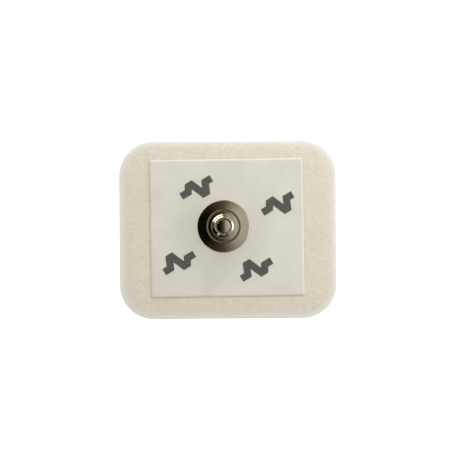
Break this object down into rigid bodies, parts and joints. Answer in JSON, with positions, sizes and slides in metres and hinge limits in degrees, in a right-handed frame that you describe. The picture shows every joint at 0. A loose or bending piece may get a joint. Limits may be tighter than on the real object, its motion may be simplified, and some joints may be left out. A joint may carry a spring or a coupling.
{
  "type": "ecg electrode",
  "caption": "Disposable ECG monitoring electrode: foam pad with a gel window, film label and a metal snap stud for a lead clip.",
  "frame": {"origin": "centre of the foam pad's outline, on its skin face", "axes": "+Z away from the skin, along the snap stud; +X along the pad's longer side"},
  "size_m": [0.0364, 0.0298, 0.0054],
  "materials": {
    "foam": "cream closed-cell foam, fine pebbled skin",
    "gel": "clear tacky conductive gel",
    "silver_plate": "satin silver plate on moulded plastic",
    "label_film": "off-white film, satin",
    "ink": "dark grey printing ink",
    "stud_metal": "bright drawn sheet with a warm nickel tone"
  },
  "bodies": {
    "root": {"foam_pad": "foam", "gel_pad": "gel", "sensor": "silver_plate", "top_label": "label_film", "label_print": "ink", "snap_stud": "stud_metal"}
  },
  "joints": []
}
